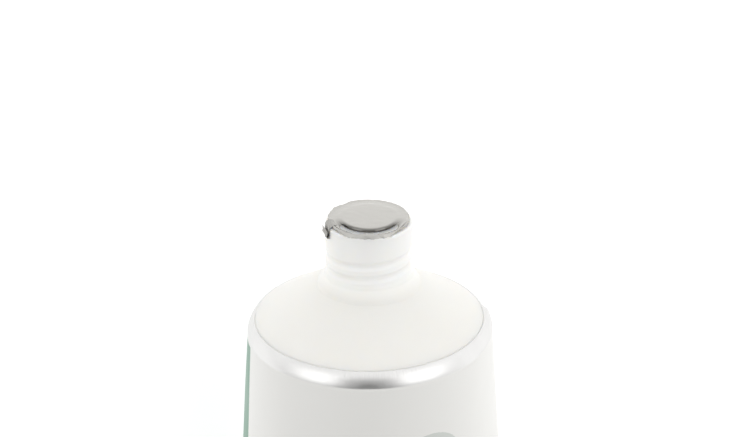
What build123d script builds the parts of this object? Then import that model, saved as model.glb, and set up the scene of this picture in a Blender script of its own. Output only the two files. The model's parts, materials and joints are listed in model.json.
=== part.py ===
from build123d import *
import math
import os

# A filled toothpaste tube, foil-sealed and without its cap, lying on its belly.
# Millimetres, +Z up. The nozzle points towards -Y and the crimped tail towards +Y.
# The origin is the middle of the footprint, on the surface the tube lies on.

# Sleeve: a tube of laminate, round at the shoulder and pressed flat at the tail
sleeve_diameter = 35.0
sleeve_length = 132.0
laminate = 0.3
fullness = 0.43
widest_share = 0.46
belly_sag = 0.5
ring_sag = 0.05
crimp_length = 6.0
crimp_thickness = 0.7
crimp_lift = 1.6
crimp_lift_power = 8
crimp_root = 0.8
rib_pitch = 1.0
rib_depth = 0.12
nozzle_tilt = 4.5

# Band where the sleeve's cut end is welded over the rim of the shoulder
band_height = 2.8
band_straight = 0.4
band_edge_radius = 3.2
seam_inset = 1.1

# Shoulder moulding with its threaded neck
shoulder_wall = 1.2
shoulder_slope = 32.5
collar_step = 1.25
collar_height = 2.1
collar_rounding = 0.35
neck_radius = 6.25
neck_height = 7.75
bore_radius = 4.0
lip_rounding = 0.4
thread_pitch = 2.0
thread_depth = 0.38
thread_mouth = 1.1
thread_floor = 0.5
thread_rise = 4.0
thread_foot = 1.1

# Foil membrane sealed over the neck, with what is left of its pull tab
foil_inset = 0.1
foil_thickness = 0.12
dome_inset = 0.2
dome_skirt = 0.6
dome_height = 0.5
curl_width = 0.5
curl_height = 0.35
tab_gap = 0.2
tab_thickness = 0.25
tab_drop = 2.3
tab_width = 2.4

# The small step by which the round nose stays inside the sleeve's first section
nose_step = 0.02
section_points = 40
squarest = 6.0
section_stations = (0.1, 0.24, 0.4, 0.56, 0.71, 0.84, 0.93, 1.0)

sleeve_radius = sleeve_diameter / 2
tilt = math.radians(nozzle_tilt)

# Radii that follow the neck and its bore
collar_radius = neck_radius + collar_step
foil_radius = neck_radius - lip_rounding - foil_inset
dome_radius = bore_radius - dome_inset
dome_foot_radius = dome_radius + dome_skirt

# Heights along the nozzle's axis, from the seam between the sleeve's end and the shoulder
ring_z = -band_height
edge_centre = (sleeve_radius - band_edge_radius, ring_z + band_straight)
seam_angle = math.degrees(math.acos(1 - seam_inset / band_edge_radius))
slope = math.tan(math.radians(shoulder_slope))


def on_edge(radius, angle):
    """A point of the rounded edge, at this radius about its centre and this angle above the level."""
    turn = math.radians(angle)
    return (edge_centre[0] + radius * math.cos(turn), edge_centre[1] + radius * math.sin(turn))


rim_edge_radius = band_edge_radius - laminate
cone_foot = on_edge(rim_edge_radius, 90 - shoulder_slope)


def cone_z(radius):
    """Height of the shoulder's sloping outside at this radius from the nozzle's axis."""
    return cone_foot[1] + (cone_foot[0] - radius) * slope


collar_z = cone_z(collar_radius)
neck_z = collar_z + collar_height
lip_z = neck_z + neck_height
rim_outer = sleeve_radius - laminate
rim_inner = rim_outer - shoulder_wall
wall_drop = shoulder_wall / math.cos(math.radians(shoulder_slope))
foil_top = lip_z + foil_thickness
tip_z = foil_top + dome_height
rim_z = foil_top + curl_height

# Half the width of the flattened sleeve, whose perimeter is the round sleeve's
crimp_half_width = (math.pi * sleeve_radius - crimp_thickness) / 2

# Where the nozzle stands: its lowest ring touches the floor, and the footprint is centred.
# Seen along the floor, the foil reaches furthest with its dome or with its curled edge.
body_length = sleeve_length - band_height - crimp_length
reach_front = max(
    z * math.cos(tilt) + radius * math.sin(tilt)
    for radius, z in ((dome_radius, tip_z), (foil_radius, rim_z))
)
reach_back = band_height * math.cos(tilt) + body_length + crimp_length
seam_y = (reach_front - reach_back) / 2
seam_height = sleeve_radius * math.cos(tilt) + band_height * math.sin(tilt) - ring_sag
crimp_y = seam_y + band_height * math.cos(tilt) + body_length

nozzle = Plane(
    origin=(0, seam_y, seam_height), x_dir=(1, 0, 0), z_dir=(0, -math.cos(tilt), math.sin(tilt))
)
nozzle_side = Plane(origin=nozzle.origin, x_dir=nozzle.x_dir, z_dir=-nozzle.y_dir)
nozzle_axis = Axis(nozzle.origin, nozzle.z_dir)
ring = nozzle.offset(ring_z)


def outline(half_width, depth, crown, exponent):
    """Points round a section of the sleeve, from the belly, with its widest line at height 0."""
    points = []
    for step in range(section_points):
        turn = 2 * math.pi * step / section_points - math.pi / 2
        across = abs(math.cos(turn)) ** (2 / exponent)
        upward = abs(math.sin(turn)) ** (2 / exponent)
        x = math.copysign(half_width * across, math.cos(turn))
        z = crown * upward if math.sin(turn) > 0 else -depth * upward
        points.append((x, z))
    return points


def perimeter(points):
    """Length of the closed run of straight steps through the points."""
    return sum(math.dist(points[i - 1], points[i]) for i in range(len(points)))


def section_exponent(half_width, depth, crown):
    """The squareness at which a section is as long round as the sleeve, by halving."""
    low, high = 2.0, squarest
    for _ in range(30):
        middle = (low + high) / 2
        if perimeter(outline(half_width, depth, crown, middle)) < math.pi * sleeve_diameter:
            low = middle
        else:
            high = middle
    return low


def sleeve_section(share):
    """The sleeve's section at this share of the way from the shoulder to the crimp."""
    half_width = sleeve_radius + (crimp_half_width - sleeve_radius) * share
    height = sleeve_diameter * (1 - share) * (1 + fullness * share) + crimp_thickness * share
    lift = (crimp_lift - crimp_thickness / 2) * share**crimp_lift_power
    belly = lift - belly_sag * 4 * share * (1 - share)
    depth = height * widest_share
    crown = height - depth
    points = outline(half_width, depth, crown, section_exponent(half_width, depth, crown))
    return [(x, z + belly + depth) for x, z in points]


# Shoulder: cone, collar and neck in one moulding, with the bore right through
with BuildPart() as shoulder:
    with BuildSketch(nozzle_side) as shoulder_profile:
        with BuildLine():
            Line((rim_inner, ring_z), (rim_outer, ring_z))
            Line((rim_outer, ring_z), (rim_outer, edge_centre[1]))
            CenterArc(edge_centre, rim_edge_radius, 0, 90 - shoulder_slope)
            Polyline(
                cone_foot,
                (collar_radius, collar_z),
                (collar_radius, neck_z),
                (neck_radius, neck_z),
                (neck_radius, lip_z),
                (bore_radius, lip_z),
                (bore_radius, cone_z(bore_radius) - wall_drop),
                (rim_inner, cone_z(rim_inner) - wall_drop),
                (rim_inner, ring_z),
            )
        make_face()
        for corner, rounding in (
            ((collar_radius, collar_z), collar_rounding),
            ((collar_radius, neck_z), collar_rounding),
            ((neck_radius, lip_z), lip_rounding),
        ):
            fillet(shoulder_profile.vertices().sort_by_distance(corner)[0], rounding)
    revolve(axis=nozzle_axis)
    # The thread's groove, right-handed, leaves crests as wide as the neck
    thread_start = nozzle.offset(neck_z + thread_foot)
    with BuildLine() as thread_path:
        Helix(thread_pitch, thread_rise, neck_radius, thread_start.origin, nozzle.z_dir)
    groove_start = thread_path.line @ 0
    groove_plane = Plane(
        origin=groove_start, x_dir=groove_start - thread_start.origin, z_dir=thread_path.line % 0
    )
    with BuildSketch(groove_plane):
        with BuildLine():
            Polyline(
                (-thread_depth, -thread_floor / 2),
                (thread_depth, -thread_floor / 2 - (thread_mouth - thread_floor)),
                (thread_depth, thread_floor / 2 + (thread_mouth - thread_floor)),
                (-thread_depth, thread_floor / 2),
                close=True,
            )
        make_face()
    sweep(path=thread_path.line, is_frenet=True, mode=Mode.SUBTRACT)

# Sleeve with the paste it holds: one closed solid, up to the foil and down to the crimp
with BuildPart() as tube_body:
    with BuildSketch(ring):
        with BuildLine():
            Spline(*outline(sleeve_radius, sleeve_radius, sleeve_radius, 2.0), periodic=True)
        make_face()
    for share in section_stations:
        station_y = crimp_y - body_length * (1 - share)
        with BuildSketch(Plane(origin=(0, station_y, 0), x_dir=(1, 0, 0), z_dir=(0, -1, 0))):
            with BuildLine():
                Spline(*sleeve_section(share), periodic=True)
            make_face()
    loft()
    # The sleeve's cut end, wrapped over the rim of the shoulder
    with BuildSketch(nozzle_side):
        with BuildLine():
            nose_radius = sleeve_radius - nose_step
            outer_end = on_edge(band_edge_radius - nose_step, seam_angle)
            inner_end = on_edge(rim_edge_radius, seam_angle)
            Polyline(
                (nose_radius, edge_centre[1]),
                (nose_radius, ring_z),
                (rim_outer, ring_z),
                (rim_outer, edge_centre[1]),
            )
            CenterArc(edge_centre, band_edge_radius - nose_step, 0, seam_angle)
            Line(outer_end, inner_end)
            CenterArc(edge_centre, rim_edge_radius, 0, seam_angle)
        make_face()
    revolve(axis=nozzle_axis)
    # The paste under the shoulder and in the bore
    with BuildSketch(nozzle_side):
        with BuildLine():
            Polyline(
                (0, ring_z),
                (rim_inner, ring_z),
                (rim_inner, cone_z(rim_inner) - wall_drop),
                (bore_radius, cone_z(bore_radius) - wall_drop),
                (bore_radius, lip_z),
                (0, lip_z),
                close=True,
            )
        make_face()
    revolve(axis=nozzle_axis)
    # The crimp, embossed right across with matching ribs on both faces
    with BuildSketch(Plane.YZ):
        with BuildLine():
            ribs = round(crimp_length / rib_pitch)
            wave = [
                (crimp_y + crimp_length * k / (2 * ribs), crimp_lift + rib_depth * (-1) ** k)
                for k in range(2 * ribs + 1)
            ]
            root = (crimp_y - crimp_root, crimp_lift)
            half = crimp_thickness / 2
            upper = [(y, z + half) for y, z in [root] + wave]
            lower = [(y, z - half) for y, z in [root] + wave]
            Polyline(*upper, *reversed(lower), close=True)
        make_face()
    extrude(amount=crimp_half_width, both=True)
    # The belly lies flat on the floor
    split(bisect_by=Plane.XY, keep=Keep.TOP)

# Foil membrane: a ring sealed on the lip, its edge curled up, a low dome and the folded tab
with BuildPart() as foil_seal:
    with BuildSketch(nozzle_side):
        with BuildLine():
            Polyline(
                (0, lip_z + dome_height),
                (dome_radius, lip_z + dome_height),
                (dome_foot_radius, lip_z),
                (foil_radius - curl_width, lip_z),
                (foil_radius, lip_z + curl_height),
                (foil_radius, rim_z),
                (foil_radius - curl_width, foil_top),
                (dome_foot_radius + foil_thickness / 2, foil_top),
                (dome_radius + foil_thickness / 2, tip_z),
                (0, tip_z),
                close=True,
            )
        make_face()
    revolve(axis=nozzle_axis)
    with BuildSketch(nozzle_side):
        with BuildLine():
            tab_root = foil_radius - curl_width - tab_gap
            tab_inner = neck_radius + tab_gap
            tab_outer = tab_inner + tab_thickness
            Polyline(
                (tab_root, lip_z),
                (tab_inner, lip_z),
                (tab_inner, lip_z - tab_drop),
                (tab_outer, lip_z - tab_drop),
                (tab_outer, lip_z),
                (tab_inner, foil_top),
                (tab_root, foil_top),
                close=True,
            )
        make_face()
    extrude(amount=tab_width / 2, both=True)

pieces = {"tube_body": tube_body, "shoulder": shoulder, "foil_seal": foil_seal}
os.makedirs("parts", exist_ok=True)
for name, piece in pieces.items():
    piece.part.label = name
    export_step(piece.part, f"parts/{name}.step")
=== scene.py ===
import json
import math
import bmesh
import bpy
from mathutils import Matrix, Vector, noise


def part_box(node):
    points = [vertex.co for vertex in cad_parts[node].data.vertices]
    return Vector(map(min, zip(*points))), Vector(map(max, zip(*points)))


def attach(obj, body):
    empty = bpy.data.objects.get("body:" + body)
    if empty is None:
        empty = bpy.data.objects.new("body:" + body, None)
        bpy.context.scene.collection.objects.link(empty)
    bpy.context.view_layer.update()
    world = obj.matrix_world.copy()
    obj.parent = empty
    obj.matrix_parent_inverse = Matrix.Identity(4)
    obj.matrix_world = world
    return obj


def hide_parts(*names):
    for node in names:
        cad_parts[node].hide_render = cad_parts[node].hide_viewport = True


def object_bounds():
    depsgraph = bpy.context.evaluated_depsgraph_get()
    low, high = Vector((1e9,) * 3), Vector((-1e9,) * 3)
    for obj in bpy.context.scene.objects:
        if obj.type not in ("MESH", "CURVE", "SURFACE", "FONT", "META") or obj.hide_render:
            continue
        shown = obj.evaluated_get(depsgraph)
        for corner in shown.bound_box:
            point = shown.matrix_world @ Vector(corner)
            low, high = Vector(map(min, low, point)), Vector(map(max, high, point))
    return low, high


# A filled toothpaste tube lying on its belly, foil-sealed and without its cap.
# Lengths are in millimetres until a mesh is made, and metres from there on.
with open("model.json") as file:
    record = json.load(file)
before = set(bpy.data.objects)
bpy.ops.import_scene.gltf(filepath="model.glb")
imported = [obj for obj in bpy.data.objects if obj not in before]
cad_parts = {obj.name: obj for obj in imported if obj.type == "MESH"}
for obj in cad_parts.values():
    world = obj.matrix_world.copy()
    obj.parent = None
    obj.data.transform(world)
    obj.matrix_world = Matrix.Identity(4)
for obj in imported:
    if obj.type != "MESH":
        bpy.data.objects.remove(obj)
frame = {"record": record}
cad_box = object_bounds()

MM = 0.001

# Sleeve, as the CAD model has it
sleeve_length = 132.0
laminate = 0.3
fullness = 0.43
widest_share = 0.46
belly_sag = 0.5
crimp_length = 6.0
crimp_thickness = 0.7
crimp_lift = 1.6
crimp_lift_power = 8
rib_pitch = 1.0
rib_depth = 0.12
section_points = 40
squarest = 6.0
section_stations = (0.1, 0.24, 0.4, 0.56, 0.71, 0.84, 0.93, 1.0)

# How far the seated shoulder is from square and round, and the sleeve from its ideal section
seam_skew = math.radians(0.5)
ring_oval = 1.006
waist = 0.02
slimmer_side = 0.013

# The laminate's side seam: where its outer edge ends and how far round its overlap fades out, in
# degrees from the top towards -X, and how proud that edge lies of the sleeve and of the shoulder
lap_angle = 101.0
lap_fade = 34.0
lap_rise = 0.32
lap_stand = 0.12

# Artwork: places round the sleeve from the top, towards -X, and along it from its end
stripe_centre = -30.4
stripe_width = 15.0
disc_across = 9.4
disc_along = 17.3
disc_radius = 5.0
print_blur = 0.1

# Band at the sleeve's open end, and the shoulder moulding
sleeve_radius = 17.5
band_height = 2.8
band_straight = 0.4
band_edge_radius = 3.2
seam_inset = 1.1
shoulder_wall = 1.2
shoulder_slope = math.radians(32.5)
collar_height = 2.1
neck_height = 7.75
bore_radius = 4.0
thread_pitch = 2.0
thread_turns = 2.0
thread_depth = 0.24
thread_foot = 0.3
collar_flare = 2.2
rim_radius = 16.3
rim_raise = 0.2

# Foil seal; angles round it are in degrees from the top, towards +X
foil_thickness = 0.12
foil_radius = 5.75
plateau_radius = 3.7
plateau_rise = 0.5
curl_start = 5.05
curl_rise = 0.36
tab_angle = 71.0
tab_width = 2.3
tab_thickness = 0.1

# How far the foil's edge hangs below its rim: a skirt at the front, next to nothing elsewhere
skirt_drops = (
    (0, 1.25), (9, 1.3), (15, 1.15), (26, 0.62), (44, 0.32), (62, 0.22), (120, 0.12), (180, 0.1),
    (300, 0.12), (317, 0.16), (326, 0.4), (334, 0.75), (343, 1.1), (352, 1.28),
)

# The foil outline's change in radius: a clipped corner at the back, and small waves
edge_offsets = (
    (0, 0.0), (40, 0.03), (90, -0.05), (116, 0.0), (123, 0.16), (129, -0.02), (140, -0.2),
    (149, -0.05), (157, 0.1), (170, 0.04), (215, -0.02), (260, -0.12), (310, -0.05), (340, 0.03),
)

# The tab's run outward over the rim, down the neck and back up, as radius and height over the seal
tab_path = (
    (5.15, 0.3), (5.6, 0.36), (5.95, 0.22), (6.2, -0.05), (6.32, -0.45), (6.35, -0.85), (6.32, -1.3),
    (6.42, -1.6), (6.58, -1.5), (6.62, -1.1), (6.55, -0.75), (6.65, -0.4),
)

# Studio: what the floor gives off, the sky's radiance overhead and round about, and the softboxes'
floor_glow = 0.63
zenith_level = 0.15
horizon_level = 0.98
left_level = 0.76
right_level = 0.8
end_level = 0.15

# Camera, in degrees and millimetres
camera_elevation = math.radians(25.68)
camera_distance = 345.3
camera_lens = 116.96
camera_sensor = 36.0

# Mesh detail: points round the sleeve, the band, the moulding and the foil, and a narrow row that
# keeps the shading flat up to a sharp edge
sleeve_count = 240
band_count = 288
shoulder_count = 256
foil_count = 360
edge_guard = 0.02

# The nozzle's frame, from the mounts: its axis, the direction across it that is nearest to up,
# and the point of the axis that is level with the seam
mounts = {mount["name"]: mount for mount in frame["record"]["mounts"]}
collar_radius = mounts["neck_collar"]["dims"]["r_mm"]
neck_radius = mounts["neck_thread"]["dims"]["r_mm"]
nozzle_axis = Vector(mounts["neck_collar"]["axis"])
nozzle_up = Vector((0, nozzle_axis.z, -nozzle_axis.y))

edge_centre = (sleeve_radius - band_edge_radius, band_straight - band_height)
seam_angle = math.acos(1 - seam_inset / band_edge_radius)
rim_edge_radius = band_edge_radius - laminate
cone_foot_radius = edge_centre[0] + rim_edge_radius * math.sin(shoulder_slope)
cone_foot_z = edge_centre[1] + rim_edge_radius * math.cos(shoulder_slope)


def cone_z(radius):
    """Height of the shoulder's sloping outside at this radius from the nozzle's axis."""
    return cone_foot_z + (cone_foot_radius - radius) * math.tan(shoulder_slope)


collar_z = cone_z(collar_radius)
neck_z = collar_z + collar_height
lip_z = neck_z + neck_height
ledge = Vector(mounts["collar_ledge"]["pos_m"])
seam_point = Vector((0, ledge.y, ledge.z)) - nozzle_axis * neck_z * MM

tube_low, tube_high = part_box("tube_body")
crimp_half_width = tube_high[0] / MM
crimp_y = tube_high[1] / MM - crimp_length
body_length = sleeve_length - band_height - crimp_length
sleeve_girth = 2 * math.pi * sleeve_radius


def smooth(low, high, value):
    """0 below low, 1 above high, and an even curve between."""
    share = max(0.0, min(1.0, (value - low) / (high - low)))
    return share * share * (3 - 2 * share)


def mix(a, b, share):
    return a + (b - a) * share


def hermite(start, end, leaving, arriving, t):
    """Place at t on the cubic from start to end with these slopes at its ends."""
    return (
        start * (2 * t**3 - 3 * t**2 + 1)
        + leaving * (t**3 - 2 * t**2 + t)
        + end * (3 * t**2 - 2 * t**3)
        + arriving * (t**3 - t**2)
    )


def at_nozzle(x, up, z):
    """World point from a place in the nozzle's frame."""
    return seam_point + (Vector((x, 0, 0)) + nozzle_up * up + nozzle_axis * z) * MM


def on_shoulder(radius, turn, z):
    """World point at this turn from the top, on a shoulder that was seated a little askew and oval."""
    rim_share = smooth(collar_radius, sleeve_radius - seam_inset, radius)
    x = radius * math.sin(turn)
    skew = -x * math.tan(seam_skew) * rim_share
    return at_nozzle(x * mix(1, ring_oval, rim_share), radius * math.cos(turn), z + skew)


# ---------------------------------------------------------------- meshes


def skin(name, rings, place, closed=False, caps=(False, False)):
    """A mesh of quads through rings of points, each ring closed on itself.

    place gives the surface coordinates of a row and step. The last ring joins the first where
    closed is set, and caps say whether the first and last rings are filled.
    """
    count = len(rings[0])
    points = [point for ring in rings for point in ring]
    faces = []
    corners = []
    last = len(rings) if closed else len(rings) - 1
    for row in range(last):
        here = row * count
        there = (row + 1) % len(rings) * count
        for step in range(count):
            ahead = (step + 1) % count
            faces.append((here + step, here + ahead, there + ahead, there + step))
            corners.append((row, step))
    for end, row in enumerate((0, len(rings) - 1)):
        if caps[end]:
            centre = sum(rings[row], Vector()) / count
            points.append(centre)
            for step in range(count):
                ahead = (step + 1) % count
                pair = (row * count + step, row * count + ahead)
                faces.append((len(points) - 1, *(pair[::-1] if end == 0 else pair)))
    # Points past the CAD model's box are moved onto it, by 0.05 mm at most
    points = [Vector(min(max(v, low), high) for v, low, high in zip(point, *cad_box)) for point in points]
    mesh = bpy.data.meshes.new(name)
    mesh.from_pydata(points, [], faces)
    layer = mesh.uv_layers.new(name="print")
    for index, (row, step) in enumerate(corners):
        around = ((row, step), (row, step + 1), (row + 1, step + 1), (row + 1, step))
        for corner, (r, s) in enumerate(around):
            layer.data[index * 4 + corner].uv = place(r, s)
    mesh.validate()
    mesh.update()
    piece = bpy.data.objects.new(name, mesh)
    bpy.context.scene.collection.objects.link(piece)
    for polygon in mesh.polygons:
        polygon.use_smooth = True
    return piece


def outward(piece):
    """Turns every face to look out of its mesh."""
    shape = bmesh.new()
    shape.from_mesh(piece.data)
    bmesh.ops.recalc_face_normals(shape, faces=shape.faces)
    shape.to_mesh(piece.data)
    shape.free()
    return piece


# ---------------------------------------------------------------- sleeve


def outline(half_width, depth, crown, exponent, count):
    """Points round a section of the sleeve, from the belly, with its widest line at height 0."""
    points = []
    for step in range(count):
        turn = 2 * math.pi * step / count - math.pi / 2
        across = abs(math.cos(turn)) ** (2 / exponent)
        upward = abs(math.sin(turn)) ** (2 / exponent)
        x = math.copysign(half_width * across, math.cos(turn))
        z = crown * upward if math.sin(turn) > 0 else -depth * upward
        points.append((x, z))
    return points


def perimeter(points):
    return sum(math.dist(points[i - 1], points[i]) for i in range(len(points)))


def evenly(points, count):
    """The same closed run with its points spaced evenly along it."""
    lengths = [0.0]
    for here, there in zip(points, points[1:] + points[:1]):
        lengths.append(lengths[-1] + math.dist(here, there))
    spaced = []
    index = 0
    for step in range(count):
        wanted = lengths[-1] * step / count
        while lengths[index + 1] < wanted:
            index += 1
        share = (wanted - lengths[index]) / (lengths[index + 1] - lengths[index])
        here = points[index]
        there = points[(index + 1) % len(points)]
        spaced.append((mix(here[0], there[0], share), mix(here[1], there[1], share)))
    return spaced


def sleeve_section(share):
    """Points of the sleeve's section at this share of the way from the shoulder to the crimp."""
    half_width = mix(sleeve_radius, crimp_half_width, share)
    height = 2 * sleeve_radius * (1 - share) * (1 + fullness * share) + crimp_thickness * share
    lift = (crimp_lift - crimp_thickness / 2) * share**crimp_lift_power
    belly = lift - belly_sag * 4 * share * (1 - share)
    depth = height * widest_share
    crown = height - depth
    low, high = 2.0, squarest
    for _ in range(30):
        middle = (low + high) / 2
        if perimeter(outline(half_width, depth, crown, middle, section_points)) < sleeve_girth:
            low = middle
        else:
            high = middle
    y = crimp_y - body_length * (1 - share)
    fine = evenly(outline(half_width, depth, crown, low, 4000), sleeve_count)
    return [Vector((x, y, z + belly + depth)) * MM for x, z in fine]


def ring_section():
    """Points of the sleeve's first ring, a circle square to the nozzle's axis."""
    turns = (2 * math.pi * step / sleeve_count for step in range(sleeve_count))
    return [on_shoulder(sleeve_radius, math.pi - turn, -band_height) for turn in turns]


def along_sleeve(sections, shares, share):
    """Points of the ring at this share, on a smooth curve through those of the given sections."""
    index = 0
    while index < len(shares) - 2 and share > shares[index + 1]:
        index += 1
    step = shares[index + 1] - shares[index]
    t = (share - shares[index]) / step

    def slope(k, n):
        back = max(k - 1, 0)
        ahead = min(k + 1, len(shares) - 1)
        return (sections[ahead][n] - sections[back][n]) / (shares[ahead] - shares[back])

    ring = []
    for n in range(sleeve_count):
        leaving = slope(index, n) * step
        arriving = slope(index + 1, n) * step
        ring.append(hermite(sections[index][n], sections[index + 1][n], leaving, arriving, t))
    return ring


def lapped(angle):
    """How much of the side seam's overlap lies at this angle in degrees from the top, towards -X."""
    return smooth(lap_angle - lap_fade, lap_angle - 3, angle) if angle < lap_angle else 0.0


def make_sleeve():
    """Sleeve from the band's lower edge to the end of its crimp."""
    shares = (0.0, *section_stations)
    sections = [ring_section()] + [sleeve_section(share) for share in section_stations]
    rings = []
    places = []
    rows = 120
    for row in range(-1, rows + 1):
        # Rows lie closer together near the two ends, and a guard row follows the first
        even = max(row, 0) / rows
        if row == 0:
            share = edge_guard / body_length
        elif even < 0.5:
            share = 0.5 - 0.5 * math.cos(math.pi * even)
        else:
            share = 0.5 + 0.5 * math.sin(math.pi * (even - 0.5))
        ring = along_sleeve(sections, shares, share)
        rings.append(ring)
        places.append(band_height + body_length * share)
    # The crimp's ribs
    ribs = round(crimp_length / rib_pitch)
    steps = ribs * 10
    base = rings[-1]
    for k in range(1, steps + 1):
        along = crimp_length * k / steps
        wave = rib_depth * math.cos(2 * math.pi * along / rib_pitch) * smooth(0, rib_pitch / 2, along)
        rings.append([point + Vector((0, along, wave)) * MM for point in base])
        places.append(band_height + body_length + along)
    for ring, place_along in zip(rings, places):
        share = (place_along - band_height) / body_length
        fuller = 1 + waist / sleeve_radius * smooth(0, 0.08, share) * (1 - smooth(0.08, 0.5, share))
        slimmer = fuller - slimmer_side * smooth(0.04, 0.2, share) * (1 - smooth(0.5, 0.9, share))
        for point in ring:
            point.x *= slimmer if point.x > 0 else fuller
        outward_by = [
            lap_rise * lapped(360 * (step / sleeve_count - 0.5)) * (1 - smooth(0.5, 0.9, share))
            for step in range(sleeve_count)
        ]
        middle = sum((point.z for point in ring), 0.0) / len(ring)
        for point, rise in zip(ring, outward_by):
            away = Vector((point.x, 0, point.z - middle))
            point += away.normalized() * rise * MM
            point.z = max(point.z, 0.0)

    def place(row, step):
        return (sleeve_girth * (step / sleeve_count - 0.5), places[row])

    return outward(skin("sleeve", rings, place, caps=(True, True)))


def lathe(name, profile, count, place, shape):
    """A turned mesh about the nozzle's axis from a closed run of (radius, height) points.

    Angle 0 is at the top. place gives surface coordinates, and shape moves a point of the run
    according to its angle.
    """
    rings = []
    for radius, z in profile:
        ring = []
        for step in range(count):
            turn = 2 * math.pi * step / count - math.pi
            r, height = shape(radius, z, turn)
            ring.append(on_shoulder(r, turn, height))
        rings.append(ring)
    return outward(skin(name, rings, place, closed=True))


def run_lengths(profile):
    """Length along a run of points at each of them."""
    lengths = [0.0]
    for here, there in zip(profile, profile[1:]):
        lengths.append(lengths[-1] + math.dist(here, there))
    return lengths


def arc(centre, radius, start, end, steps):
    """Points of an arc, angles in radians from level outward."""
    points = []
    for step in range(steps + 1):
        turn = mix(start, end, step / steps)
        points.append((centre[0] + radius * math.cos(turn), centre[1] + radius * math.sin(turn)))
    return points


def make_band():
    """The sleeve's bare end, turned over onto the shoulder."""
    profile = [
        (sleeve_radius - edge_guard, -band_height),
        (sleeve_radius, -band_height),
        (sleeve_radius, -band_height + edge_guard),
    ]
    profile += arc(edge_centre, band_edge_radius, 0, seam_angle - math.radians(4), 24)
    profile += arc(edge_centre, rim_edge_radius, seam_angle - math.radians(2), 0, 12)
    profile += [(sleeve_radius - laminate, -band_height)]
    lengths = run_lengths(profile)
    lap_from = sleeve_radius - seam_inset - 0.3

    def lap(radius, z, turn):
        # The edge of the overlap stands off the shoulder where it turns over
        over = lapped(-math.degrees(turn)) * smooth(lap_from, sleeve_radius - 0.2, radius)
        return radius + lap_rise * over, z + lap_stand * over**2 * smooth(-band_height, 0, z)

    def place(row, step):
        return (sleeve_girth * (step / band_count - 0.5), band_height - lengths[row % len(lengths)])

    return lathe("sleeve_band", profile, band_count, place, lap)


def fillet(before, corner, after, radius, steps):
    """Points of the arc that rounds a corner between two straight runs."""
    corner = Vector(corner)
    back = (Vector(before) - corner).normalized()
    onward = (Vector(after) - corner).normalized()
    half = back.angle(onward) / 2
    reach = radius / math.tan(half)
    start = corner + back * reach
    end = corner + onward * reach
    middle = corner + (back + onward).normalized() * radius / math.sin(half)
    first = math.atan2(start.y - middle.y, start.x - middle.x)
    swing = math.atan2(end.y - middle.y, end.x - middle.x) - first
    swing = (swing + math.pi) % (2 * math.pi) - math.pi
    return arc(middle, radius, first, first + swing, steps)


def make_shoulder():
    """Shoulder moulding: a rim, a cone, a flared collar and the neck with its bore."""
    rim_outer = sleeve_radius - laminate
    rim_inner = rim_outer - shoulder_wall
    drop = shoulder_wall / math.cos(shoulder_slope)
    rim = (rim_radius, cone_z(rim_radius))
    collar_low = (collar_radius, collar_z)
    lip = (neck_radius, lip_z)
    inner_lip = (bore_radius, lip_z)
    under_rim = (rim_radius + 0.3, rim[1] - 0.42)
    profile = [(rim_outer, -band_height)]
    profile += arc(edge_centre, rim_edge_radius - 0.05, 0, math.radians(35), 8)
    profile += [under_rim]
    profile += fillet(under_rim, rim, collar_low, 0.35, 8)
    for k in range(1, 30):
        radius = mix(rim_radius - 0.5, collar_radius + 0.7, k / 30)
        profile.append((radius, cone_z(radius)))
    # The collar's side runs into the neck in a soft flare, with a shallow groove near its top
    flare = []
    for k in range(23):
        radius = mix(collar_radius - 0.1, neck_radius, smooth(-0.22, 1, k / 22))
        height = collar_z + 0.35 + collar_flare * k / 22
        flare.append((radius - 0.08 * (1 - smooth(0, 0.35, abs(height - neck_z + 0.35))), height))
    profile += fillet(rim, collar_low, flare[0], 0.3, 7)
    profile += flare
    rows = 110
    foot = flare[-1]
    for k in range(1, rows):
        profile.append((neck_radius, mix(foot[1], lip_z - 0.45, k / rows)))
    profile += fillet(foot, lip, inner_lip, 0.4, 6)
    profile += [inner_lip, (bore_radius, cone_z(bore_radius) - drop)]
    profile += [(rim_inner, cone_z(rim_inner) - drop), (rim_inner, -band_height)]
    lengths = run_lengths(profile)
    collar_from = lengths[profile.index(flare[0])]

    def place(row, step):
        return (step / shoulder_count, lengths[row % len(lengths)] - collar_from)

    def thread(radius, z, turn):
        if radius != neck_radius:
            return radius, z + rim_raise * smooth(9.0, 15.5, radius) * smooth(-1.2, -0.5, z)
        # How many turns of the right-handed groove have gone by at this angle, and how far off it is
        gone = (0.5 - turn / (2 * math.pi)) % 1.0
        turns = (z - neck_z - thread_foot) / thread_pitch - gone
        nearest = round(turns)
        off = abs(turns - nearest) * thread_pitch
        depth = thread_depth * (1 - smooth(0.1, 0.75, off))
        depth *= smooth(-0.1, 0.15, nearest + gone)
        depth *= 1 - smooth(thread_turns - 0.2, thread_turns + 0.1, nearest + gone)
        return radius - depth, z

    return lathe("shoulder_moulding", profile, shoulder_count, place, thread)


# ---------------------------------------------------------------- foil seal


def around_foil(turn, places):
    """Value at this turn, on a smooth curve through (degrees, value) places round the foil."""
    angle = math.degrees(turn) % 360
    places = sorted((place % 360, value) for place, value in places)
    wrapped = [(places[-1][0] - 360, places[-1][1])] + places + [(places[0][0] + 360, places[0][1])]
    for (a, low), (b, high) in zip(wrapped, wrapped[1:]):
        if a <= angle <= b:
            return mix(low, high, smooth(a, b, angle))
    return places[0][1]


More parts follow.
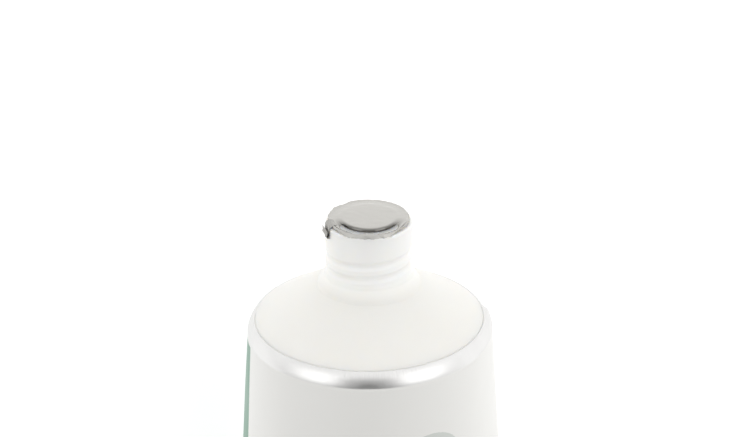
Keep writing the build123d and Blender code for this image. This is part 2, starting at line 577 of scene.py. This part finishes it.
def make_foil():
    """Foil sealed on the lip: raised middle, pressed groove round it, curled edge and torn skirt."""
    # Rows of the plateau, its wall, the groove's floor, the curl and the skirt, one share each
    rows = (14, 16, 14, 12, 18)
    top = lip_z + foil_thickness
    rings = []

    def crease(x, up, z, scale, seed):
        return noise.noise(Vector((x, up, z)) * scale + Vector((seed, seed * 2, seed * 3)))

    def sheet(share, turn):
        """Radius and height of the sheet, from the middle (0) to the skirt's edge (5)."""
        front = 0.5 + 0.5 * math.cos(turn)
        steep = smooth(0.55, 0.8, front)
        low = mix(0.36, -0.4, steep)
        outer = mix(0.34, -0.1, steep)
        spread = mix(1.2, 0.45, smooth(0.5, 0.75, front))
        floor_from = plateau_radius + spread
        edge = foil_radius + around_foil(turn, edge_offsets)
        if share <= 1:
            radius = plateau_radius * share
            return radius, plateau_rise - 0.03 * share**4
        if share <= 2:
            across = share - 1
            fall = mix(smooth(0, 1, across), 1 - math.sqrt(1 - across**2), steep)
            return plateau_radius + spread * across, mix(plateau_rise - 0.03, low, fall)
        if share <= 3:
            radius = mix(floor_from, curl_start, share - 2)
            return radius, mix(low, outer, smooth(0, 1, share - 2))
        if share <= 4:
            swing = share - 3
            radius = mix(curl_start, edge, swing)
            return radius, mix(outer, curl_rise, swing**1.4)
        drop = around_foil(turn, skirt_drops)
        fallen = (share - 4) * drop
        out = 0.16 * math.sin(min(fallen / 0.16, math.pi / 2)) + 0.20 * smooth(0.1, 0.7, fallen)
        return edge + out, curl_rise - fallen

    shares = [0.02] + [base + k / steps for base, steps in enumerate(rows) for k in range(1, steps + 1)]
    for share in shares:
        ring = []
        for step in range(foil_count):
            turn = 2 * math.pi * step / foil_count
            radius, height = sheet(share, turn)
            x = radius * math.sin(turn)
            up = radius * math.cos(turn)
            loose = smooth(3.0, 4.0, share)
            ragged = smooth(4.1, 4.8, share)
            height += 0.012 * crease(x, up, 0, 0.6, 3) * (1 - loose) + 0.02 * crease(x, up, 0, 1.3, 5)
            height += 0.07 * crease(x, up, 0, 1.1, 7) * loose * (1 - ragged)
            wobble = 0.10 * crease(x, up, height, 1.9, 11) + 0.08 * crease(x, up, height, 4.5, 13)
            radius += wobble * ragged
            height += 0.10 * crease(x, up, 0, 2.7, 17) * ragged
            ring.append(at_nozzle(radius * math.sin(turn), radius * math.cos(turn), top + height))
        rings.append(ring)

    def place(row, step):
        return (step / foil_count, shares[row])

    return outward(skin("foil_membrane", rings, place, caps=(True, False)))


def make_tab():
    """What is left of the pull tab: a narrow strip folded down, doubled back and crumpled."""
    top = lip_z + foil_thickness
    rows = 60
    across = 22
    rings = []
    front = []
    for row in range(rows + 1):
        gone = row / rows * (len(tab_path) - 1)
        k = min(int(gone), len(tab_path) - 2)
        t = gone - k
        before = tab_path[max(k - 1, 0)]
        after = tab_path[min(k + 2, len(tab_path) - 1)]
        point = []
        for axis in range(2):
            here, there = tab_path[k][axis], tab_path[k + 1][axis]
            point.append(hermite(here, there, (there - before[axis]) / 2, (after[axis] - here) / 2, t))
        radius, height = point
        line = []
        for step in range(across + 1):
            side = (step / across - 0.5) * tab_width * (1 - 0.25 * smooth(0.5, 1.0, row / rows))
            where = Vector((radius * 0.9, side * 1.1, height * 0.9 + row / rows * 2))
            buckle = smooth(0.12, 0.3, row / rows)
            push = (0.20 * noise.noise(where * 1.3) + 0.12 * noise.noise(where * 3.1)) * buckle
            lift = 0.18 * noise.noise(where * 1.7 + Vector((9, 0, 0))) * buckle
            slide = 0.2 * noise.noise(where * 0.8 + Vector((0, 5, 0))) * buckle
            r = radius + push
            swing = math.radians(tab_angle) - (side + slide) / 6.0
            line.append((r, swing, height + lift))
        front.append(line)
    for row, line in enumerate(front):
        ahead = front[min(row + 1, rows)]
        back = front[max(row - 1, 0)]
        outer = []
        inner = []
        for (r, swing, h), (r1, _, h1), (r0, _, h0) in zip(line, ahead, back):
            normal = Vector((h1 - h0, r0 - r1)).normalized() * (tab_thickness / 2)
            for side, face in ((-1, outer), (1, inner)):
                out = r + side * normal.x
                high = top + h + side * normal.y
                face.append(at_nozzle(out * math.sin(swing), out * math.cos(swing), high))
        rings.append(outer + inner[::-1])
    return outward(skin("foil_tab", rings, lambda row, step: (step / across, 5.0), caps=(True, True)))


# ---------------------------------------------------------------- materials


def material(name, color, roughness, metallic=0.0):
    """A material with one plain shader, to be varied by the nodes that follow."""
    made = bpy.data.materials.new(name)
    made.use_nodes = True
    shader = made.node_tree.nodes["Principled BSDF"]
    shader.inputs["Base Color"].default_value = (*color, 1)
    shader.inputs["Roughness"].default_value = roughness
    shader.inputs["Metallic"].default_value = metallic
    return made


def math_node(tree, operation, a, b=None, c=None):
    """Result of an operation on sockets or numbers."""
    node = tree.nodes.new("ShaderNodeMath")
    node.operation = operation
    for socket, value in zip(node.inputs, (a, b, c)):
        if value is None:
            continue
        if isinstance(value, (int, float)):
            socket.default_value = value
        else:
            tree.links.new(value, socket)
    return node.outputs[0]


def ramp_node(tree, value, low, high, first=0.0, last=1.0):
    """A smooth change from first to last as the value goes from low to high."""
    node = tree.nodes.new("ShaderNodeMapRange")
    node.interpolation_type = "SMOOTHSTEP"
    for socket, number in zip(node.inputs[1:5], (low, high, first, last)):
        socket.default_value = number
    tree.links.new(value, node.inputs[0])
    return node.outputs[0]


def print_place(tree):
    """The two sockets of a piece's own surface coordinates: across and along."""
    node = tree.nodes.new("ShaderNodeUVMap")
    node.uv_map = "print"
    split = tree.nodes.new("ShaderNodeSeparateXYZ")
    tree.links.new(node.outputs[0], split.inputs[0])
    return split.outputs["X"], split.outputs["Y"]


def stretched(tree, scale, surface=False):
    """A piece's own coordinates, or its surface's, scaled by a factor along each axis."""
    if surface:
        node = tree.nodes.new("ShaderNodeUVMap")
        node.uv_map = "print"
        where = node.outputs[0]
    else:
        where = tree.nodes.new("ShaderNodeTexCoord").outputs["Object"]
    node = tree.nodes.new("ShaderNodeVectorMath")
    node.operation = "MULTIPLY"
    node.inputs[1].default_value = scale
    tree.links.new(where, node.inputs[0])
    return node.outputs[0]


def noise_node(tree, where, scale, detail=3.0, roughness=0.5):
    """Smooth random values, about 0 to 1."""
    node = tree.nodes.new("ShaderNodeTexNoise")
    node.inputs["Scale"].default_value = scale
    node.inputs["Detail"].default_value = detail
    node.inputs["Roughness"].default_value = roughness
    tree.links.new(where, node.inputs["Vector"])
    return node.outputs["Fac"]


def color_mix(tree, factor, first, last):
    """A color between two, each a socket or a tuple."""
    node = tree.nodes.new("ShaderNodeMix")
    node.data_type = "RGBA"
    tree.links.new(factor, node.inputs["Factor"])
    for socket, value in ((node.inputs["A"], first), (node.inputs["B"], last)):
        if isinstance(value, tuple):
            socket.default_value = (*value, 1)
        else:
            tree.links.new(value, socket)
    return node.outputs["Result"]


def bump_chain(tree, *layers):
    """Bumps one on another, each a height in its own unit and a depth in metres."""
    normal = None
    for height, depth in layers:
        node = tree.nodes.new("ShaderNodeBump")
        node.inputs["Strength"].default_value = 1.0
        node.inputs["Distance"].default_value = depth
        tree.links.new(height, node.inputs["Height"])
        if normal:
            tree.links.new(normal, node.inputs["Normal"])
        normal = node.outputs[0]
    tree.links.new(normal, tree.nodes["Principled BSDF"].inputs["Normal"])


def finish_with(made, color, roughness):
    """Links a material's color and roughness."""
    tree = made.node_tree
    shader = tree.nodes["Principled BSDF"]
    tree.links.new(color, shader.inputs["Base Color"])
    tree.links.new(roughness, shader.inputs["Roughness"])


def sleeve_finish():
    """Satin white print with a green stripe down one side and a pale disc on the front."""
    made = material("sleeve_print", (0.86, 0.865, 0.86), 0.34)
    tree = made.node_tree
    across, along = print_place(tree)
    skin_where = stretched(tree, (1, 1, 1))
    fray = math_node(tree, "MULTIPLY_ADD", noise_node(tree, skin_where, 2600.0), 0.16, -0.08)

    def inside(distance, reach):
        """1 within reach of a shape's middle and 0 outside, with the print's slightly frayed edge."""
        frayed = math_node(tree, "ADD", distance, fray)
        return ramp_node(tree, frayed, reach + print_blur, reach - print_blur)

    stripe_off = math_node(tree, "ABSOLUTE", math_node(tree, "SUBTRACT", across, stripe_centre))
    stripe = inside(stripe_off, stripe_width / 2)
    aside = math_node(tree, "POWER", math_node(tree, "SUBTRACT", across, disc_across), 2.0)
    further = math_node(tree, "POWER", math_node(tree, "SUBTRACT", along, disc_along), 2.0)
    disc = inside(math_node(tree, "SQRT", math_node(tree, "ADD", aside, further)), disc_radius)
    cloud = noise_node(tree, skin_where, 90.0)
    white = color_mix(tree, cloud, (0.83, 0.825, 0.798), (0.855, 0.85, 0.823))
    green = color_mix(tree, cloud, (0.15, 0.31, 0.225), (0.17, 0.335, 0.245))
    pale = color_mix(tree, cloud, (0.62, 0.65, 0.615), (0.65, 0.68, 0.645))
    color = color_mix(tree, stripe, color_mix(tree, disc, white, pale), green)
    rub = noise_node(tree, stretched(tree, (1, 0.25, 1)), 420.0, 5.0, 0.6)
    roughness = ramp_node(tree, rub, 0.3, 0.75, 0.30, 0.40)
    finish_with(made, color, roughness)
    peel = noise_node(tree, skin_where, 1500.0, 2.0)
    draw_lines = noise_node(tree, stretched(tree, (1.6, 0.02, 1), surface=True), 1.0, 2.0)
    waves = noise_node(tree, skin_where, 160.0, 1.0)
    bump_chain(tree, (waves, 0.00006), (draw_lines, 0.00001), (peel, 0.000006))
    return made


def band_finish():
    """Bare aluminium laminate, satin, gathered into fine pleats where it turns over the shoulder."""
    made = material("sleeve_band", (0.80, 0.805, 0.81), 0.36, 1.0)
    tree = made.node_tree
    across, along = print_place(tree)
    near_seam = ramp_node(tree, along, 1.6, -0.6)
    streaks = noise_node(tree, stretched(tree, (3.2, 0.28, 1), surface=True), 1.0, 3.0, 0.6)
    fine = noise_node(tree, stretched(tree, (9.0, 0.9, 1), surface=True), 1.0, 2.0)
    cloud = noise_node(tree, stretched(tree, (1, 1, 1)), 260.0)
    bare = color_mix(tree, cloud, (0.78, 0.775, 0.765), (0.84, 0.835, 0.825))
    printed_edge = ramp_node(tree, along, band_height - 0.6, band_height - 0.3)
    color = color_mix(tree, printed_edge, bare, (0.842, 0.837, 0.81))
    rub = math_node(tree, "MULTIPLY_ADD", streaks, 0.12, 0.30)
    finish_with(made, color, math_node(tree, "MULTIPLY_ADD", near_seam, 0.06, rub))
    metal = math_node(tree, "SUBTRACT", 1.0, printed_edge)
    tree.links.new(metal, tree.nodes["Principled BSDF"].inputs["Metallic"])
    pleats = math_node(tree, "MULTIPLY", streaks, near_seam)
    bump_chain(tree, (pleats, 0.00012), (fine, 0.000012), (cloud, 0.00003))
    return made


def plastic_finish():
    """Natural polyethylene, slightly see-through, with faint turning marks from its mould."""
    made = material("shoulder_plastic", (0.90, 0.885, 0.855), 0.40)
    tree = made.node_tree
    shader = tree.nodes["Principled BSDF"]
    shader.inputs["Subsurface Weight"].default_value = 0.6
    shader.inputs["Subsurface Radius"].default_value = (1.0, 0.9, 0.75)
    shader.inputs["Subsurface Scale"].default_value = 0.0022
    skin_where = stretched(tree, (1, 1, 1))
    cloud = noise_node(tree, skin_where, 120.0, 4.0)
    cone = color_mix(tree, cloud, (0.84, 0.82, 0.772), (0.868, 0.848, 0.80))
    # The neck is the same plastic; its lighter color stands in for light passing through it
    neck = color_mix(tree, cloud, (0.95, 0.935, 0.89), (0.97, 0.955, 0.915))
    along = print_place(tree)[1]
    color = color_mix(tree, ramp_node(tree, along, -0.6, 3.0), cone, neck)
    finish_with(made, color, ramp_node(tree, cloud, 0.3, 0.7, 0.36, 0.46))
    rings = noise_node(tree, stretched(tree, (0.3, 7.0, 1), surface=True), 1.0, 2.0)
    grain = noise_node(tree, skin_where, 2400.0, 2.0)
    sink = noise_node(tree, skin_where, 140.0, 1.0)
    bump_chain(tree, (sink, 0.00005), (rings, 0.000012), (grain, 0.000008))
    return made


def foil_finish():
    """Aluminium foil: smooth where it is sealed and pressed, creased towards its torn edge."""
    made = material("seal_foil", (0.60, 0.595, 0.585), 0.2, 1.0)
    tree = made.node_tree
    across, along = print_place(tree)
    edge = ramp_node(tree, along, 3.2, 4.4)
    skin_where = stretched(tree, (1, 1, 1))
    cloud = noise_node(tree, skin_where, 500.0)
    creases = noise_node(tree, skin_where, 1400.0, 4.0, 0.6)
    rolled = noise_node(tree, stretched(tree, (1, 12, 12)), 380.0, 2.0)
    clean = color_mix(tree, cloud, (0.49, 0.48, 0.455), (0.525, 0.515, 0.49))
    # A painted darkening, not a mark on real foil: it stands in for the dark reflection that the
    # groove at the front has in a studio, and for the shade among the tab's folds
    half_turn = math_node(tree, "FRACT", math_node(tree, "ADD", across, 0.5))
    aside = math_node(tree, "ABSOLUTE", math_node(tree, "SUBTRACT", half_turn, 0.5))
    groove = math_node(tree, "MULTIPLY", ramp_node(tree, along, 1.1, 1.8), ramp_node(tree, along, 3.0, 2.3))
    groove = math_node(tree, "MULTIPLY", groove, ramp_node(tree, aside, 0.235, 0.15))
    on_tab = ramp_node(tree, along, 4.92, 4.98, 0.0, 0.22)
    painted = math_node(tree, "MAXIMUM", math_node(tree, "MULTIPLY", groove, 0.72), on_tab)
    color = color_mix(tree, painted, clean, (0.05, 0.047, 0.042))
    rub = ramp_node(tree, cloud, 0.3, 0.7, 0.15, 0.24)
    finish_with(made, color, math_node(tree, "MULTIPLY_ADD", edge, 0.12, rub))
    crumple = math_node(tree, "MULTIPLY", creases, edge)
    bump_chain(tree, (crumple, 0.00022), (cloud, 0.000012), (rolled, 0.000003))
    return made


# ---------------------------------------------------------------- put together

sleeve = make_sleeve()
band = make_band()
shoulder = make_shoulder()
foil = make_foil()
tab = make_tab()
printed = sleeve_finish()
aluminium = band_finish()
plastic = plastic_finish()
sealing_foil = foil_finish()
for piece, finish, slot, node in (
    (sleeve, printed, "sleeve_print", "tube_body"),
    (band, aluminium, "sleeve_band", "tube_body"),
    (shoulder, plastic, "shoulder_plastic", "shoulder"),
    (foil, sealing_foil, "seal_foil", "foil_seal"),
    (tab, sealing_foil, "seal_foil", "foil_seal"),
):
    piece.data.materials.append(finish)
    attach(piece, "root")
    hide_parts(node)

# ---------------------------------------------------------------- floor, light and camera

mesh = bpy.data.meshes.new("floor")
reach = 3.0
floor_corners = [(-reach, -reach, 0), (reach, -reach, 0), (reach, reach, 0), (-reach, reach, 0)]
mesh.from_pydata(floor_corners, [], [(0, 1, 2, 3)])
floor = bpy.data.objects.new("floor", mesh)
bpy.context.scene.collection.objects.link(floor)
paper = material("floor_paper", (0.58, 0.58, 0.58), 0.9)
shader = paper.node_tree.nodes["Principled BSDF"]
shader.inputs["Emission Color"].default_value = (1, 1, 1, 1)
shader.inputs["Emission Strength"].default_value = floor_glow
shader.inputs["Specular IOR Level"].default_value = 0.0
floor.data.materials.append(paper)

world = bpy.data.worlds.new("studio")
bpy.context.scene.world = world
world.use_nodes = True
tree = world.node_tree
where = tree.nodes.new("ShaderNodeTexCoord")
split = tree.nodes.new("ShaderNodeSeparateXYZ")
tree.links.new(where.outputs["Generated"], split.inputs[0])

# The dark side of the studio is a strip over the tube, from overhead towards its tail
aside = ramp_node(tree, math_node(tree, "ABSOLUTE", split.outputs["X"]), 0.12, 0.64)
beyond = ramp_node(tree, split.outputs["Y"], 0.05, -0.45)
low_down = ramp_node(tree, split.outputs["Z"], 0.4, 0.1)
bright = math_node(tree, "MAXIMUM", math_node(tree, "MAXIMUM", aside, beyond), low_down)
sky = math_node(tree, "MULTIPLY_ADD", bright, horizon_level - zenith_level, zenith_level)
sky = math_node(tree, "MULTIPLY", sky, ramp_node(tree, split.outputs["Y"], 0.0, 0.8, 1.0, 0.8))
sky = math_node(tree, "MULTIPLY", sky, ramp_node(tree, split.outputs["X"], 0.2, 0.95, 1.0, 0.82))
tree.links.new(sky, tree.nodes["Background"].inputs["Color"])


def softbox(name, place, width, height, radiance):
    """A large soft light at a place, facing the tube's nozzle end, in metres."""
    data = bpy.data.lights.new(name, "AREA")
    data.shape = "RECTANGLE"
    data.size = width
    data.size_y = height
    data.energy = radiance * math.pi * width * height
    lamp = bpy.data.objects.new(name, data)
    bpy.context.scene.collection.objects.link(lamp)
    facing = (Vector(place) - lit_point).to_track_quat("Z", "Y")
    lamp.matrix_world = Matrix.Translation(place) @ facing.to_matrix().to_4x4()


lit_point = Vector((0, -0.06, 0.018))
softbox("softbox_left", (0.46, -0.10, 0.46), 0.55, 0.45, left_level)
softbox("softbox_right", (-0.46, -0.10, 0.46), 0.55, 0.45, right_level)
softbox("softbox_end", (0, -0.75, 0.30), 0.8, 0.4, end_level)

# Camera: it looks down on the shoulder from beyond the nozzle's end
view_target = at_nozzle(-0.85, 0, 15.44)
to_camera = nozzle_up * math.cos(camera_elevation) + nozzle_axis * math.sin(camera_elevation)
data = bpy.data.cameras.new("camera")
data.sensor_width = camera_sensor
data.lens = camera_lens
data.clip_start = 0.01
camera = bpy.data.objects.new("camera", data)
bpy.context.scene.collection.objects.link(camera)
level_right = Vector((-1, 0, 0))
level_up = nozzle_axis * math.cos(camera_elevation) - nozzle_up * math.sin(camera_elevation)
turn = Matrix((level_right, level_up, to_camera)).transposed()
camera.matrix_world = Matrix.Translation(view_target + to_camera * camera_distance * MM) @ turn.to_4x4()
bpy.context.scene.camera = camera
bpy.context.scene.view_settings.view_transform = "Standard"
